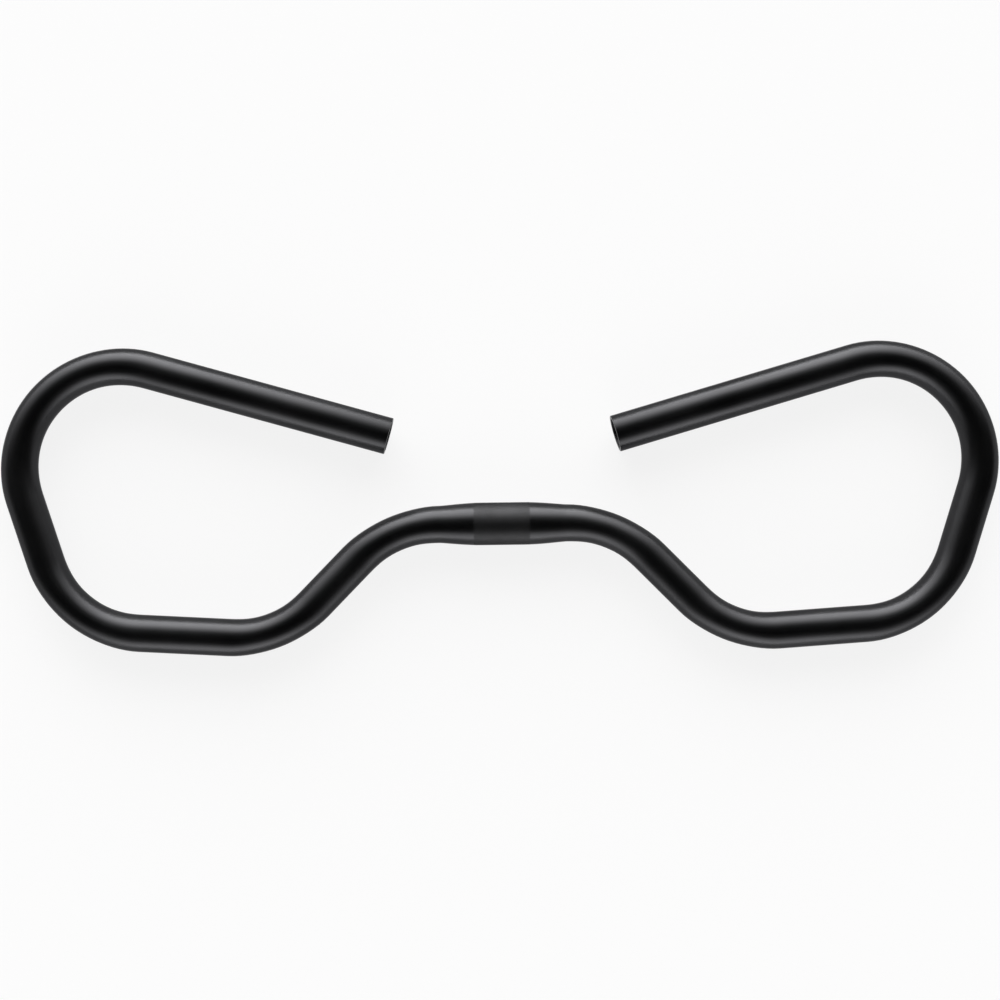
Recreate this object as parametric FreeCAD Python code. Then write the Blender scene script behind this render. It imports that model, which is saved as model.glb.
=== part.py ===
"""Multi-position handlebar: one aluminium tube, swelled at the stem clamp and bent flat into two wings.

Frame: the origin is the middle of the clamp seat, on its axis. +X runs along the clamp to the right,
+Y points to the side where the two tips come back, and +Z is up. The bar lies flat in the XY plane.
All lengths are millimetres and all angles are degrees.
"""
import FreeCAD, Part
import math
import os

from FreeCAD import Vector

# Tube
tube_diameter = 22.2
wall = 2.0

# Stem clamp, swelled out of the same tube
clamp_diameter = 25.4
clamp_seat_length = 26.0
clamp_taper_length = 25.0
# How far the taper's curve keeps the direction of the seat and of the tube, as shares of the taper
seat_ease = 0.4
tube_ease = 0.1

# One half of the bar, from the clamp's taper out to the tip, as a tube bender takes it
shoulder_bend_radius = 70.0
shoulder_bend_angle = 45.5
shoulder_run = 35.0
lower_bend_radius = 66.5
lower_bend_angle = 49.0
lower_run = 52.5
outer_bend_radius = 62.5
outer_bend_angle = 68.5
outer_run = 39.0
upper_bend_radius = 60.0
upper_bend_angle = 124.0
grip_run = 148.5

# Tips, cut square, with both edges of the rim broken
rim_edge_break = 0.4
bore_edge_break = 0.6

UP = Vector(0, 0, 1)
RIGHT = Vector(1, 0, 0)
ORIGIN = Vector(0, 0, 0)

tube_radius = tube_diameter / 2
bore_radius = tube_radius - wall
clamp_radius = clamp_diameter / 2

# Radius, turn and the run that follows. A turn to the left, towards +Y from +X, is positive.
bender_steps = (
    (shoulder_bend_radius, -shoulder_bend_angle, shoulder_run),
    (lower_bend_radius, lower_bend_angle, lower_run),
    (outer_bend_radius, outer_bend_angle, outer_run),
    (upper_bend_radius, upper_bend_angle, grip_run),
)


class Station:
    """A place on the tube's centreline, and the tube's heading there, in degrees from +X."""

    def __init__(self, point, heading):
        self.point = point
        self.heading = heading
        self.along = FreeCAD.Rotation(UP, heading).multVec(RIGHT)
        self.left = UP.cross(self.along)

    def bend_centre(self, radius, turn):
        return self.point + self.left * math.copysign(radius, turn)

    def after_run(self, length):
        return Station(self.point + self.along * length, self.heading)

    def after_bend(self, radius, turn):
        centre = self.bend_centre(radius, turn)
        out = FreeCAD.Rotation(UP, turn).multVec(self.point - centre)
        return Station(centre + out, self.heading + turn)


def disc(station, radius):
    """A round face square to the tube, whose edge starts at the top."""
    circle = Part.Circle(station.point, station.along, radius)
    circle.XAxis = UP
    return Part.Face(Part.Wire(circle.toShape()))


def tube_ring(station):
    """The tube's section: a flat ring as wide as the wall."""
    return disc(station, tube_radius).cut(disc(station, bore_radius))


def straight_tube(start, length):
    """A straight run: the ring pushed along its heading."""
    return tube_ring(start).extrude(start.along * length)


def bent_tube(start, radius, turn):
    """A bend: the ring turned about the bend's centre."""
    return tube_ring(start).revolve(start.bend_centre(radius, turn), UP, turn)


def break_rim(tube, tip):
    """Breaks the two round edges at an open tip."""
    for radius, size in ((tube_radius, rim_edge_break), (bore_radius, bore_edge_break)):
        rim = [
            edge for edge in tube.Edges
            if isinstance(edge.Curve, Part.Circle)
            and edge.Curve.Center.isEqual(tip.point, size / 2)
            and math.isclose(edge.Curve.Radius, radius, abs_tol=size / 2)
        ]
        tube = tube.makeChamfer(size, rim)
    return tube


def clamp_tube():
    """The swelled middle: a seat for the stem with a smooth taper down to the tube on each side."""
    seat_end = clamp_seat_length / 2
    taper_end = seat_end + clamp_taper_length

    def half_profile(depth):
        seat, tube = clamp_radius - depth, tube_radius - depth
        taper = Part.BezierCurve()
        taper.setPoles([
            Vector(seat_end, 0, seat),
            Vector(seat_end + clamp_taper_length * seat_ease, 0, seat),
            Vector(taper_end - clamp_taper_length * tube_ease, 0, tube),
            Vector(taper_end, 0, tube),
        ])
        return Part.LineSegment(Vector(0, 0, seat), taper.StartPoint), taper

    outside = half_profile(0)
    bore = half_profile(wall)
    end = Part.LineSegment(outside[1].EndPoint, bore[1].EndPoint)
    middle = Part.LineSegment(outside[0].StartPoint, bore[0].StartPoint)
    edges = [curve.toShape() for curve in (*outside, end, *bore, middle)]
    half = Part.Face(Part.Wire(Part.__sortEdges__(edges))).revolve(ORIGIN, RIGHT, 360)
    return half.fuse(half.mirror(ORIGIN, RIGHT)).removeSplitter()


def wing_pieces():
    """The right-hand half of the bar, bend by bend and run by run, from the clamp's taper to the tip."""
    station = Station(RIGHT * (clamp_seat_length / 2 + clamp_taper_length), 0)
    pieces = []
    for radius, turn, run in bender_steps:
        pieces.append(bent_tube(station, radius, turn))
        station = station.after_bend(radius, turn)
        pieces.append(straight_tube(station, run))
        station = station.after_run(run)
    pieces[-1] = break_rim(pieces[-1], station)
    return pieces


def handlebar():
    """The whole bar as one solid: the clamp, the right wing and its mirror image."""
    right = wing_pieces()
    left = [piece.mirror(ORIGIN, RIGHT) for piece in right]
    return clamp_tube().multiFuse(right + left).removeSplitter()


os.makedirs("parts", exist_ok=True)
handlebar().exportStep("parts/handlebar_tube.step")
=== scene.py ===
"""Multi-position handlebar: the bent tube in satin black, lying flat on a pale studio floor.

Every length is in metres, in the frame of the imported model: the origin is the middle of the clamp seat,
+X runs along the clamp to the right, +Y points to the side where the tips come back, and +Z is up.
"""
import math

import bmesh
import bpy
from bpy.props import FloatProperty, FloatVectorProperty, IntProperty, PointerProperty
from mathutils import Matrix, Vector


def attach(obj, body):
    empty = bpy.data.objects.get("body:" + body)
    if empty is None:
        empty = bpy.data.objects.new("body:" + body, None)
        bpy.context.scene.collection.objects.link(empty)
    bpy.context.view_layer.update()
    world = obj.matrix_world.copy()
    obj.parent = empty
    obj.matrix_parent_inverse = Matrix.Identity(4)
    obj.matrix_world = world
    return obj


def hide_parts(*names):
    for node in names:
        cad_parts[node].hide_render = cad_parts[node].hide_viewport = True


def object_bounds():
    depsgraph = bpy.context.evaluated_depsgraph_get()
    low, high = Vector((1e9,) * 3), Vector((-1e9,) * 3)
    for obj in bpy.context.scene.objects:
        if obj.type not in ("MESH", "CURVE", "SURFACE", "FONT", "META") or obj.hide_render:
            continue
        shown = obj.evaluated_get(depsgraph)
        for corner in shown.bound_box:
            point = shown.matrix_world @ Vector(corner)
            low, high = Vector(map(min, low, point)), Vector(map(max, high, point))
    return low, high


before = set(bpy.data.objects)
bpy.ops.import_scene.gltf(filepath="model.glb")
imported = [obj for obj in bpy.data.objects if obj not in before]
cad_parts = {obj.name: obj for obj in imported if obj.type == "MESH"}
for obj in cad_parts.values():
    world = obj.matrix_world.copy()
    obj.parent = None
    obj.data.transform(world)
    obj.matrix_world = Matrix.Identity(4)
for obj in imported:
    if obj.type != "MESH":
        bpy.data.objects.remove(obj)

bl_info = {
    "name": "Multi-position handlebar",
    "version": (1, 0, 0),
    "blender": (4, 5, 0),
    "location": "View3D > Sidebar > Handlebar",
    "description": "Models the bent tube of a multi-position handlebar and sets the studio round it",
    "category": "Add Mesh",
}

CAD_NODE = "handlebar_tube"
CAD_BOX = [list(corner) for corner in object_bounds()]
FLOOR_HEIGHT = CAD_BOX[0][2]


# Sizes and colours

def length(name, description, default):
    return FloatProperty(
        name=name, description=description, default=default, min=0.0,
        subtype="DISTANCE", unit="LENGTH", precision=4,
    )


def angle(name, description, degrees):
    return FloatProperty(
        name=name, description=description, default=math.radians(degrees),
        subtype="ANGLE", unit="ROTATION",
    )


def share(name, description, default):
    return FloatProperty(
        name=name, description=description, default=default, min=0.0, max=1.0, subtype="FACTOR",
    )


def level(name, description, default):
    return FloatProperty(name=name, description=description, default=default, min=0.0)


def colour(name, description, default):
    return FloatVectorProperty(
        name=name, description=description, default=default, min=0.0, max=1.0, subtype="COLOR",
    )


class HANDLEBAR_PG_tube(bpy.types.PropertyGroup):
    """Sizes of the tube, its clamp and its bends."""

    tube_diameter: length("Tube", "Outer diameter of the tube", 0.0222)
    wall: length("Wall", "Thickness of the tube's wall", 0.002)
    clamp_diameter: length("Clamp", "Diameter of the swelled seat for the stem", 0.0254)
    clamp_seat: length("Clamp seat", "Length of the seat between its two tapers", 0.026)
    clamp_taper: length("Clamp taper", "Length of the taper from the seat down to the tube", 0.025)
    seat_ease: share("Seat ease", "Share of the taper over which it keeps the seat's direction", 0.4)
    tube_ease: share("Tube ease", "Share of the taper over which it keeps the tube's direction", 0.1)
    band_width: length("Band width", "Width of the dull band on the clamp", 0.0333)
    band_shift: FloatProperty(
        name="Band shift", description="How far the dull band sits off the middle of the clamp",
        default=-0.0011, subtype="DISTANCE", unit="LENGTH", precision=4,
    )
    shoulder_radius: length("Shoulder radius", "Radius of the bend beside the clamp", 0.070)
    shoulder_angle: angle("Shoulder angle", "Turn of the bend beside the clamp, to the right", -45.5)
    shoulder_run: length("Shoulder run", "Straight run after the shoulder bend", 0.035)
    lower_radius: length("Lower radius", "Radius of the bend at the foot of the slope", 0.0665)
    lower_angle: angle("Lower angle", "Turn of the bend at the foot of the slope", 49.0)
    lower_run: length("Lower run", "Straight run along the lower side of the wing", 0.0525)
    outer_radius: length("Outer radius", "Radius of the wing's lower outer bend", 0.0625)
    outer_angle: angle("Outer angle", "Turn of the wing's lower outer bend", 68.5)
    outer_run: length("Outer run", "Straight run up the outer side of the wing", 0.039)
    upper_radius: length("Upper radius", "Radius of the wing's upper bend", 0.060)
    upper_angle: angle("Upper angle", "Turn of the wing's upper bend", 124.0)
    grip_run: length("Grip run", "Straight run from the upper bend to the open tip", 0.1485)
    flattening: share("Flattening", "Share of the width that a bend loses in its middle", 0.05)
    rim_break: length("Rim break", "Edge break on the outside of a tip", 0.0004)
    bore_break: length("Bore break", "Edge break on the inside of a tip", 0.0006)
    sides: IntProperty(name="Sides", description="Points round the tube", default=72, min=12, max=128)
    ring_angle: angle("Ring angle", "Largest turn between two rings of a bend", 3.0)


class HANDLEBAR_PG_finish(bpy.types.PropertyGroup):
    """Colours and roughness of the finishes."""

    anodised: colour("Anodised black", "Reflected colour of the satin black tube", (0.035, 0.035, 0.0365))
    anodised_edge: colour(
        "Edge tint", "Tint of the tube's reflections at a glancing angle", (0.58, 0.58, 0.585),
    )
    anodised_roughness: share("Satin", "Roughness of the satin black tube", 0.345)
    blasted: colour("Blasted band", "Colour of the dull band on the clamp seat", (0.031, 0.031, 0.032))
    blasted_roughness: share("Blasting", "Roughness of the dull band", 0.50)
    bore: colour("Bore", "Colour inside the tube", (0.025, 0.025, 0.026))
    cut_rim: colour("Cut rim", "Colour of the turned rim at the tips", (0.042, 0.042, 0.044))


class HANDLEBAR_PG_studio(bpy.types.PropertyGroup):
    """Floor, lamps and camera."""

    floor: colour("Floor", "Colour of the floor", (0.90, 0.90, 0.90))
    floor_glow: share("Floor glow", "Share of the floor that shows as even white", 0.85)
    floor_width: length("Floor width", "Length of each side of the floor", 400.0)
    back_wall: level("Back wall", "Brightness of the soft wall behind", 7.1)
    front_wall: level("Front wall", "Brightness of the soft wall in front", 3.1)
    back_lamp: level("Back lamp", "Strength of the lamp behind", 0.6)
    front_lamp: level("Front lamp", "Strength of the lamp in front", 0.3)
    camera_place: FloatVectorProperty(
        name="Camera", description="Place of the camera", default=(-0.02672, -0.01384, 1.150),
        subtype="TRANSLATION",
    )
    camera_tilt: FloatVectorProperty(
        name="Camera tilt", description="Turn of the camera from looking straight down",
        default=tuple(math.radians(turn) for turn in (1.409, -1.225, -0.728)), subtype="EULER",
    )
    lens: FloatProperty(
        name="Lens", description="Focal length of the camera", default=69.35, min=1.0,
        subtype="DISTANCE_CAMERA", unit="CAMERA",
    )


# Tools for shaping

# Less than any real distance between two points of a piece
NEAR = 1e-5


def start_clean():
    """Leaves nothing selected, so that an operator only works on the new piece."""
    bpy.ops.object.select_all(action="DESELECT")


def edit(piece):
    bpy.context.view_layer.objects.active = piece
    piece.select_set(True)
    bpy.ops.object.mode_set(mode="EDIT")


def leave_edit():
    bpy.ops.object.mode_set(mode="OBJECT")


def apply_modifier(piece, kind, **settings):
    modifier = piece.modifiers.new(kind.title(), kind)
    for name, value in settings.items():
        setattr(modifier, name, value)
    bpy.context.view_layer.objects.active = piece
    bpy.ops.object.modifier_apply(modifier=modifier.name)


def select_points(piece, wanted):
    """In edit mode, selects the points that wanted(vertex) is true for, and nothing else."""
    bpy.ops.mesh.select_all(action="DESELECT")
    mesh = bmesh.from_edit_mesh(piece.data)
    for vertex in mesh.verts:
        vertex.select = wanted(vertex)
    mesh.select_flush(True)
    bmesh.update_edit_mesh(piece.data)


def select_edges(piece, wanted):
    """In edit mode, selects the edges that wanted(edge) is true for, and nothing else."""
    bpy.ops.mesh.select_all(action="DESELECT")
    bpy.ops.mesh.select_mode(type="EDGE")
    mesh = bmesh.from_edit_mesh(piece.data)
    for edge in mesh.edges:
        edge.select = wanted(edge)
    bmesh.update_edit_mesh(piece.data)


# Finishes

# The place that each point of the tube had before it was bent, which the lines along the tube follow
STRAIGHT_PLACE = "straight_place"
# Waves in a metre: along X, Y and Z of the straight tube for lines, and the same all ways for grains
DRAWN_LINES = (14.0, 1900.0, 1900.0)
DIE_LINES = (9.0, 700.0, 700.0)
ETCHED_GRAIN = 5200.0
HANDLING = 21.0
BLASTED_GRAIN = 2600.0
BLASTED_PATCHES = 90.0
CUT_MARKS = 1700.0
# Most of a noise lies between these values
NOISE_LOW, NOISE_HIGH = 0.3, 0.7
WHITE = (1.0, 1.0, 1.0, 1.0)


def opaque(rgb):
    return tuple(rgb) + (1.0,)


class Nodes:
    """A node tree, with short ways to add nodes and join them."""

    def __init__(self, tree):
        self.tree = tree

    def set(self, node, inputs):
        """Each input, given by its name or number, is a plain value or the socket of another node."""
        for name, value in inputs.items():
            socket = node.inputs[name]
            if isinstance(value, bpy.types.NodeSocket):
                self.tree.links.new(value, socket)
            else:
                socket.default_value = value

    def add(self, kind, inputs, **options):
        node = self.tree.nodes.new(kind)
        for name, value in options.items():
            setattr(node, name, value)
        self.set(node, inputs)
        return node

    def math(self, operation, first, second):
        return self.add("ShaderNodeMath", {0: first, 1: second}, operation=operation).outputs["Value"]


class Finish(Nodes):
    """A node material built round one Principled shader."""

    def __init__(self, name, constants):
        self.material = bpy.data.materials.new(name)
        self.material.use_nodes = True
        super().__init__(self.material.node_tree)
        self.shader = self.tree.nodes["Principled BSDF"]
        self.set(self.shader, constants)

    def noise(self, place, scale, detail):
        inputs = {"Vector": place, "Scale": scale, "Detail": detail}
        return self.add("ShaderNodeTexNoise", inputs).outputs["Fac"]

    def lines(self, waves):
        """A noise that is drawn out along the tube, round its bends."""
        place = self.add("ShaderNodeAttribute", {}, attribute_name=STRAIGHT_PLACE).outputs["Vector"]
        drawn_out = self.add("ShaderNodeMapping", {"Vector": place, "Scale": waves}).outputs["Vector"]
        return self.noise(drawn_out, scale=1.0, detail=3.0)

    def grain(self, waves, detail=3.0):
        """A noise that is the same all ways."""
        return self.noise(self.add("ShaderNodeTexCoord", {}).outputs["Object"], waves, detail)

    def between(self, value, low, high):
        """Spreads the middle of a noise over the range from low to high."""
        inputs = {
            "Value": value, "From Min": NOISE_LOW, "From Max": NOISE_HIGH, "To Min": low, "To Max": high,
        }
        return self.add("ShaderNodeMapRange", inputs).outputs["Result"]

    def tone(self, value, rgb, spread):
        """The colour, made darker and lighter by the value."""
        low = opaque(part * (1 - spread) for part in rgb)
        high = opaque(part * (1 + spread) for part in rgb)
        # The Mix node's colour inputs are its sockets 6 and 7, and its colour output is socket 2
        node = self.add("ShaderNodeMix", {6: low, 7: high}, data_type="RGBA")
        self.set(node, {"Factor": self.between(value, low=0.0, high=1.0)})
        return node.outputs[2]

    def relief(self, height, depth, strength):
        inputs = {"Height": height, "Distance": depth, "Strength": strength}
        return self.add("ShaderNodeBump", inputs).outputs["Normal"]


def satin_black(finish):
    """Black anodising over a drawn and etched tube.

    Fine lines run along the tube, over a fine grain, and its gloss changes slowly from place to place.
    """
    look = Finish("satin_black_anodised", {
        "Metallic": 1.0, "Specular Tint": opaque(finish.anodised_edge),
    })
    drawn = look.lines(DRAWN_LINES)
    etched = look.grain(ETCHED_GRAIN, detail=2.0)
    handled = look.grain(HANDLING, detail=4.0)
    rough = finish.anodised_roughness
    line_gloss = look.between(drawn, low=rough - 0.03, high=rough + 0.02)
    slow_gloss = look.between(handled, low=-0.03, high=0.03)
    look.set(look.shader, {
        "Base Color": look.tone(handled, finish.anodised, spread=0.12),
        "Roughness": look.math("ADD", line_gloss, slow_gloss),
        "Normal": look.relief(look.math("ADD", drawn, etched), depth=0.00001, strength=0.35),
    })
    return look.material


def blasted_band(finish):
    """The stem's seat, blasted before anodising: an even, dull grain."""
    look = Finish("blasted_clamp_band", {
        "Metallic": 1.0, "Specular Tint": opaque(finish.anodised_edge),
    })
    grain = look.grain(BLASTED_GRAIN)
    patches = look.grain(BLASTED_PATCHES)
    rough = finish.blasted_roughness
    look.set(look.shader, {
        "Base Color": look.tone(patches, finish.blasted, spread=0.10),
        "Roughness": look.between(grain, low=rough - 0.06, high=rough + 0.06),
        "Normal": look.relief(grain, depth=0.00004, strength=0.5),
    })
    return look.material


def drawn_bore(finish):
    """The tube's inside: anodised as drawn, with faint die lines along it."""
    look = Finish("drawn_bore", {"Metallic": 1.0})
    lines = look.lines(DIE_LINES)
    look.set(look.shader, {
        "Base Color": look.tone(lines, finish.bore, spread=0.25),
        "Roughness": look.between(lines, low=0.42, high=0.55),
        "Normal": look.relief(lines, depth=0.00003, strength=0.4),
    })
    return look.material


def cut_rim(finish):
    """The sawn and turned rim of a tip, anodised with the rest."""
    look = Finish("cut_rim", {"Metallic": 1.0})
    marks = look.grain(CUT_MARKS)
    look.set(look.shader, {
        "Base Color": look.tone(marks, finish.cut_rim, spread=0.2),
        "Roughness": look.between(marks, low=0.30, high=0.42),
        "Normal": look.relief(marks, depth=0.00003, strength=0.4),
    })
    return look.material


# The bent tube

# Material slots of the tube, and the finish of each
SATIN, BAND, BORE, RIM = range(4)
FINISHES = (satin_black, blasted_band, drawn_bore, cut_rim)
# Steps from ring to ring along half the clamp seat and along one taper
SEAT_STEPS, TAPER_STEPS = 4, 12
# Faces that meet at less than this are shaded as one surface
SMOOTH_ANGLE = math.radians(35)


def bends(sizes):
    """Each bend's start on the straight tube, its radius and turn, and the end of the run after it."""
    rows = []
    start = sizes.clamp_seat / 2 + sizes.clamp_taper
    for radius, turn, run in (
        (sizes.shoulder_radius, sizes.shoulder_angle, sizes.shoulder_run),
        (sizes.lower_radius, sizes.lower_angle, sizes.lower_run),
        (sizes.outer_radius, sizes.outer_angle, sizes.outer_run),
        (sizes.upper_radius, sizes.upper_angle, sizes.grip_run),
    ):
        end = start + (radius * abs(turn) + run)
        rows.append((start, radius, turn, end))
        start = end
    return rows


def bend_steps(sizes, turn):
    return math.ceil(abs(turn) / sizes.ring_angle - NEAR)


def clamp_rings(sizes):
    """Place along the straight tube, half width and half height of each ring of the clamp's right half."""
    tube, clamp = sizes.tube_diameter / 2, sizes.clamp_diameter / 2
    seat_end = sizes.clamp_seat / 2
    rings = [(seat_end * step / SEAT_STEPS, clamp, clamp) for step in range(SEAT_STEPS + 1)]
    # The taper is a cubic Bezier curve that leaves the seat and meets the tube without a corner
    for step in range(1, TAPER_STEPS + 1):
        t = step / TAPER_STEPS
        reach = 3 * t * (1 - t) * ((1 - t) * sizes.seat_ease + t * (1 - sizes.tube_ease)) + t ** 3
        drop = t * t * (3 - 2 * t)
        radius = clamp + (tube - clamp) * drop
        rings.append((seat_end + sizes.clamp_taper * reach, radius, radius))
    return rings


def tube_rings(sizes):
    """The same for the whole right half, from the middle of the clamp to the tip."""
    tube = sizes.tube_diameter / 2
    rings = clamp_rings(sizes)
    for start, radius, turn, end in bends(sizes):
        steps = bend_steps(sizes, turn)
        for step in range(1, steps + 1):
            # Over its middle a bend is narrower, and taller by as much as keeps the way round it as long
            flat = sizes.flattening * (1 - math.cos(math.pi * step / steps) ** 4)
            wide = tube * (1 - flat)
            tall = math.sqrt(2 * tube ** 2 - wide ** 2)
            rings.append((start + radius * abs(turn) * step / steps, wide, tall))
        rings.append((end, tube, tube))
    return rings


def straight_tube(sizes):
    """The right half before it is bent: a circle drawn out along X, ring by ring."""
    rings = tube_rings(sizes)
    x, wide, tall = rings[0]
    start_clean()
    bpy.ops.mesh.primitive_circle_add(vertices=sizes.sides, radius=wide, rotation=(0, math.radians(90), 0))
    tube = bpy.context.object
    bpy.ops.object.transform_apply(rotation=True)
    edit(tube)
    bpy.ops.mesh.select_all(action="SELECT")
    for next_x, next_wide, next_tall in rings[1:]:
        bpy.ops.mesh.extrude_region_move(TRANSFORM_OT_translate={"value": (next_x - x, 0, 0)})
        bpy.ops.transform.resize(
            value=(1, next_wide / wide, next_tall / tall), center_override=(next_x, 0, 0),
        )
        x, wide, tall = next_x, next_wide, next_tall
    leave_edit()
    return tube


def remember_straight_place(tube):
    place = tube.data.attributes.new(STRAIGHT_PLACE, "FLOAT_VECTOR", "POINT")
    for vertex, value in zip(tube.data.vertices, place.data):
        value.vector = vertex.co


def bend_tube(tube, sizes):
    """Bends the straight tube as a bender does, from the tip inwards, so that the far end swings round."""
    edit(tube)
    for start, radius, turn, _ in reversed(bends(sizes)):
        steps = bend_steps(sizes, turn)
        stretch = radius * abs(turn) / steps
        for step in range(steps, 0, -1):
            ring = start + step * stretch
            place = bmesh.from_edit_mesh(tube.data).verts.layers.float_vector[STRAIGHT_PLACE]
            select_points(tube, lambda vertex: vertex[place].x > ring - NEAR)
            bpy.ops.transform.translate(value=(-stretch, 0, 0))
            bpy.ops.transform.rotate(
                value=-turn / steps, orient_axis="Z",
                center_override=(ring - stretch, math.copysign(radius, turn), 0),
            )
    leave_edit()


def close_tube(tube, sizes):
    """Adds the left half, and then the wall with its bore and its two rims."""
    apply_modifier(tube, "MIRROR", use_axis=(True, False, False), merge_threshold=NEAR)
    edit(tube)
    bpy.ops.mesh.select_all(action="SELECT")
    bpy.ops.mesh.remove_doubles(threshold=NEAR)
    bpy.ops.mesh.normals_make_consistent(inside=False)
    leave_edit()
    place = tube.data.attributes[STRAIGHT_PLACE]
    for vertex, value in zip(tube.data.vertices, place.data):
        value.vector.x = math.copysign(value.vector.x, vertex.co.x)
    apply_modifier(
        tube, "SOLIDIFY", thickness=sizes.wall, offset=-1, use_even_offset=True,
        material_offset=BORE, material_offset_rim=RIM,
    )


def rim_centres(tube):
    """The middle of the ring at each tip."""
    places = [value.vector.x for value in tube.data.attributes[STRAIGHT_PLACE].data]
    tip = max(places)
    centres = []
    for side in (1, -1):
        ring = [
            vertex.co for vertex, x in zip(tube.data.vertices, places) if abs(side * x - tip) < NEAR
        ]
        centres.append(sum(ring, Vector()) / len(ring))
    return centres


def on_circle(edge, centres, radius):
    """Whether both ends of an edge are this far from one of the centres."""
    return any(
        all(abs((vertex.co - centre).length - radius) < NEAR for vertex in edge.verts)
        for centre in centres
    )


def break_rims(tube, sizes):
    """Breaks the outer and the inner edge of each tip."""
    outside = sizes.tube_diameter / 2
    centres = rim_centres(tube)
    edit(tube)
    for radius, size in ((outside, sizes.rim_break), (outside - sizes.wall, sizes.bore_break)):
        select_edges(tube, lambda edge: on_circle(edge, centres, radius))
        if tube.data.total_edge_sel != len(centres) * sizes.sides:
            raise RuntimeError("The edges of the rims were not found")
        bpy.ops.mesh.bevel(offset=size, segments=2, affect="EDGES")
    leave_edit()


def lay_band(tube, sizes):
    """Cuts a ring at each end of the dull band, and gives the outside between them its own finish."""
    start = sizes.band_shift - sizes.band_width / 2
    end = start + sizes.band_width
    edit(tube)
    for x in (start, end):
        bpy.ops.mesh.select_all(action="SELECT")
        bpy.ops.mesh.bisect(plane_co=(x, 0, 0), plane_no=(1, 0, 0), threshold=NEAR)
    leave_edit()
    for face in tube.data.polygons:
        if face.material_index == SATIN and start < face.center.x < end:
            face.material_index = BAND


def check_closed(tube):
    """Stops the script if the skin of the tube has a gap."""
    edit(tube)
    bpy.ops.mesh.select_mode(type="VERT")
    bpy.ops.mesh.select_all(action="DESELECT")
    bpy.ops.mesh.select_non_manifold()
    gaps = tube.data.total_vert_sel
    leave_edit()
    if gaps:
        raise RuntimeError(f"The tube is not closed at {gaps} points")


class HANDLEBAR_OT_tube(bpy.types.Operator):
    """Models the bent tube with its swelled clamp, open tips and finishes"""

    bl_idname = "handlebar.tube"
    bl_label = "Bent tube"

    def execute(self, context):
        sizes = context.scene.handlebar_tube
        tube = straight_tube(sizes)
        tube.name = tube.data.name = "bent_tube"
        for make in FINISHES:
            tube.data.materials.append(make(context.scene.handlebar_finish))
        remember_straight_place(tube)
        bend_tube(tube, sizes)
        close_tube(tube, sizes)
        break_rims(tube, sizes)
        lay_band(tube, sizes)
        check_closed(tube)
        bpy.ops.object.shade_smooth_by_angle(angle=SMOOTH_ANGLE)
        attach(tube, "root")
        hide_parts(CAD_NODE)
        return {"FINISHED"}


# The studio

# Brightness of the room and of its two walls of light, by degrees above the floor
ROOM_HEIGHTS = ((0, 1.0), (3, 1.0), (10, 0.004), (90, 0.004))
BACK_HEIGHTS = ((0, 2.2), (8, 1.05), (39, 0.98), (70, 0.0))
FRONT_HEIGHTS = ((0, 1.9), (8, 1.05), (15, 1.02), (49, 0.0))
# The way to the middle of each wall, and how closely the wall's light keeps to it
BACK_WAY, BACK_FOCUS = (-0.08, 0.9968, 0), 2.4
FRONT_WAY, FRONT_FOCUS = (0, -1, 0), 2.6
# The way to each lamp, and how broad the lamp looks from the bar
BACK_LAMP_WAY, BACK_LAMP_BREADTH = (-0.11, 0.93, 0.34), math.radians(44)
FRONT_LAMP_WAY, FRONT_LAMP_BREADTH = (0, -0.95, 0.31), math.radians(40)


def pale_floor(studio):
    """White paper that keeps the soft shadow, evened out towards plain white wherever it is seen."""
    look = Finish("pale_floor", {
        "Base Color": opaque(studio.floor), "Roughness": 0.9, "Specular IOR Level": 0.0,
    })
    glow = look.add("ShaderNodeEmission", {"Color": WHITE, "Strength": 1.0})
    path = look.add("ShaderNodeLightPath", {})
    seen = look.math("ADD", path.outputs["Is Camera Ray"], path.outputs["Is Glossy Ray"])
    seen = look.math("ADD", seen, path.outputs["Is Transmission Ray"])
    part = look.add("ShaderNodeMapRange", {"Value": seen, "To Max": studio.floor_glow})
    shaders = {0: part.outputs["Result"], 1: look.shader.outputs["BSDF"], 2: glow.outputs["Emission"]}
    mix = look.add("ShaderNodeMixShader", shaders)
    look.set(look.tree.nodes["Material Output"], {"Surface": mix.outputs["Shader"]})
    return look.material


def lay_floor(studio):
    start_clean()
    bpy.ops.mesh.primitive_plane_add(size=studio.floor_width, location=(0, 0, FLOOR_HEIGHT))
    floor = bpy.context.object
    floor.name = "floor"
    bpy.ops.object.transform_apply(location=True)
    floor.data.materials.append(pale_floor(studio))


class Room(Nodes):
    """The world's node tree, in which the way of a ray sets how bright it is."""

    def __init__(self, world):
        super().__init__(world.node_tree)
        self.way = self.add("ShaderNodeTexCoord", {}).outputs["Generated"]
        self.up = self.add("ShaderNodeSeparateXYZ", {"Vector": self.way}).outputs["Z"]

    def by_height(self, heights):
        """A brightness that eases from one pair of degrees above the floor and value to the next."""
        brightest = max(value for _, value in heights)
        ramp = self.add("ShaderNodeValToRGB", {"Fac": self.up})
        ramp.color_ramp.interpolation = "EASE"
        stops = ramp.color_ramp.elements
        while len(stops) < len(heights):
            stops.new(1.0)
        for stop, (degrees, value) in zip(stops, heights):
            stop.position = math.sin(math.radians(degrees))
            stop.color = opaque([value / brightest] * 3)
        return self.math("MULTIPLY", ramp.outputs["Color"], brightest)

    def soft_wall(self, way, focus, heights, brightness):
        """Light from one side of the room, brightest straight across from it."""
        ways = {0: self.way, 1: way}
        across = self.add("ShaderNodeVectorMath", ways, operation="DOT_PRODUCT").outputs["Value"]
        spread = self.math("POWER", self.math("MAXIMUM", across, 0.0), focus)
        return self.math("MULTIPLY", self.math("MULTIPLY", spread, brightness), self.by_height(heights))


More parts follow.
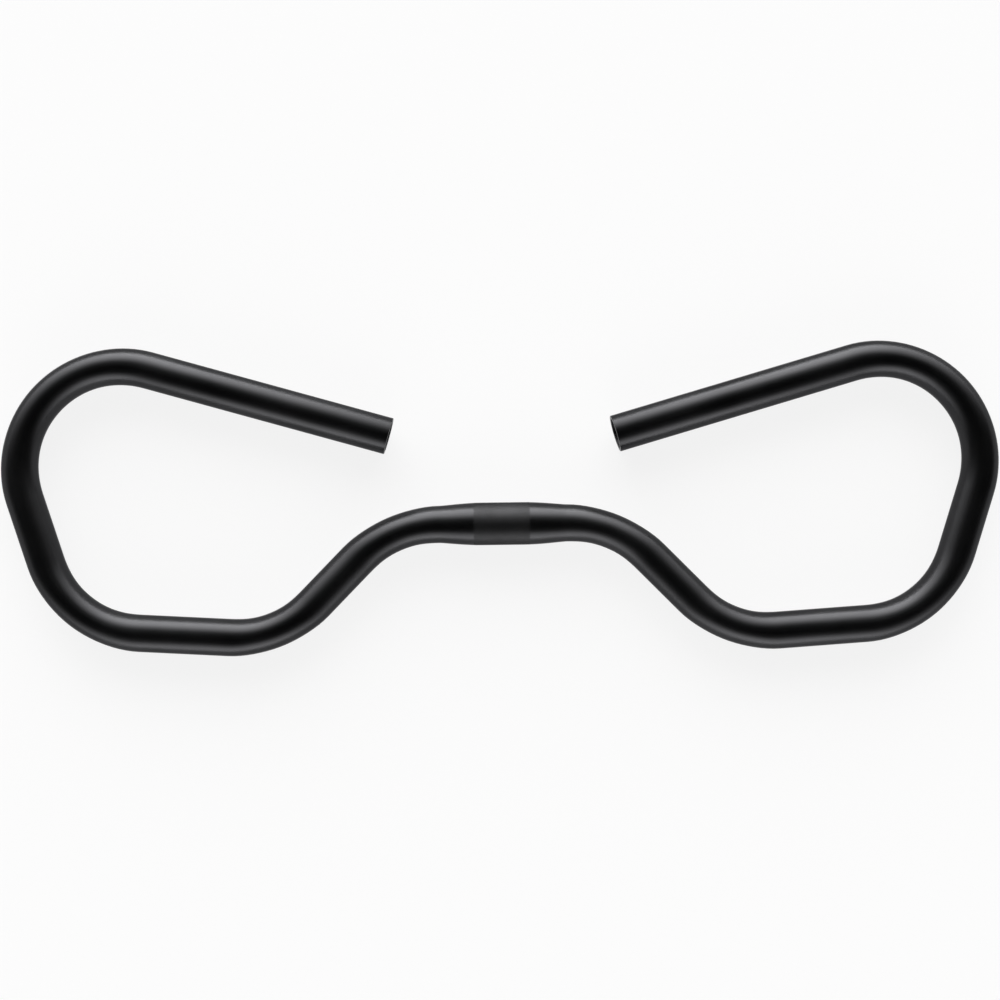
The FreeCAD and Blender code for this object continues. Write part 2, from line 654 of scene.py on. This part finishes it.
def dark_room(studio):
    """A dark room with a soft wall of light behind the bar and a lower one in front of it."""
    world = bpy.data.worlds.new("dark_room")
    world.use_nodes = True
    room = Room(world)
    back = room.soft_wall(BACK_WAY, BACK_FOCUS, BACK_HEIGHTS, studio.back_wall)
    front = room.soft_wall(FRONT_WAY, FRONT_FOCUS, FRONT_HEIGHTS, studio.front_wall)
    light = room.math("ADD", room.math("ADD", back, front), room.by_height(ROOM_HEIGHTS))
    room.set(world.node_tree.nodes["Background"], {"Color": WHITE, "Strength": light})
    return world


def add_soft_lamp(name, way, breadth, strength):
    """A broad, even lamp far off in one direction."""
    facing = (-Vector(way)).to_track_quat("-Z", "Y").to_euler()
    bpy.ops.object.light_add(type="SUN", location=way, rotation=facing)
    lamp = bpy.context.object
    lamp.name = name
    lamp.data.angle = breadth
    lamp.data.energy = strength


def add_camera(studio):
    bpy.ops.object.camera_add(location=studio.camera_place, rotation=studio.camera_tilt)
    camera = bpy.context.object
    camera.data.lens = studio.lens
    return camera


class HANDLEBAR_OT_studio(bpy.types.Operator):
    """Sets the floor, the lamps, the dark surround and the camera"""

    bl_idname = "handlebar.studio"
    bl_label = "Studio"

    def execute(self, context):
        scene = context.scene
        studio = scene.handlebar_studio
        lay_floor(studio)
        add_soft_lamp("back_lamp", BACK_LAMP_WAY, BACK_LAMP_BREADTH, studio.back_lamp)
        add_soft_lamp("front_lamp", FRONT_LAMP_WAY, FRONT_LAMP_BREADTH, studio.front_lamp)
        scene.world = dark_room(studio)
        scene.camera = add_camera(studio)
        scene.view_settings.view_transform = "Standard"
        return {"FINISHED"}


class HANDLEBAR_PT_panel(bpy.types.Panel):
    """The handlebar's tools and sizes in the sidebar"""

    bl_label = "Handlebar"
    bl_idname = "HANDLEBAR_PT_panel"
    bl_space_type = "VIEW_3D"
    bl_region_type = "UI"
    bl_category = "Handlebar"

    def draw(self, context):
        scene = context.scene
        for operator, groups in (
            (HANDLEBAR_OT_tube, (scene.handlebar_tube, scene.handlebar_finish)),
            (HANDLEBAR_OT_studio, (scene.handlebar_studio,)),
        ):
            box = self.layout.box()
            box.operator(operator.bl_idname)
            for group in groups:
                for name in group.__annotations__:
                    box.prop(group, name)


CLASSES = (
    HANDLEBAR_PG_tube, HANDLEBAR_PG_finish, HANDLEBAR_PG_studio,
    HANDLEBAR_OT_tube, HANDLEBAR_OT_studio, HANDLEBAR_PT_panel,
)


def register():
    for cls in CLASSES:
        bpy.utils.register_class(cls)
    bpy.types.Scene.handlebar_tube = PointerProperty(type=HANDLEBAR_PG_tube)
    bpy.types.Scene.handlebar_finish = PointerProperty(type=HANDLEBAR_PG_finish)
    bpy.types.Scene.handlebar_studio = PointerProperty(type=HANDLEBAR_PG_studio)


def unregister():
    del bpy.types.Scene.handlebar_studio
    del bpy.types.Scene.handlebar_finish
    del bpy.types.Scene.handlebar_tube
    for cls in reversed(CLASSES):
        bpy.utils.unregister_class(cls)


def main():
    register()
    bpy.ops.handlebar.tube()
    bpy.ops.handlebar.studio()


if __name__ == "__main__":
    main()
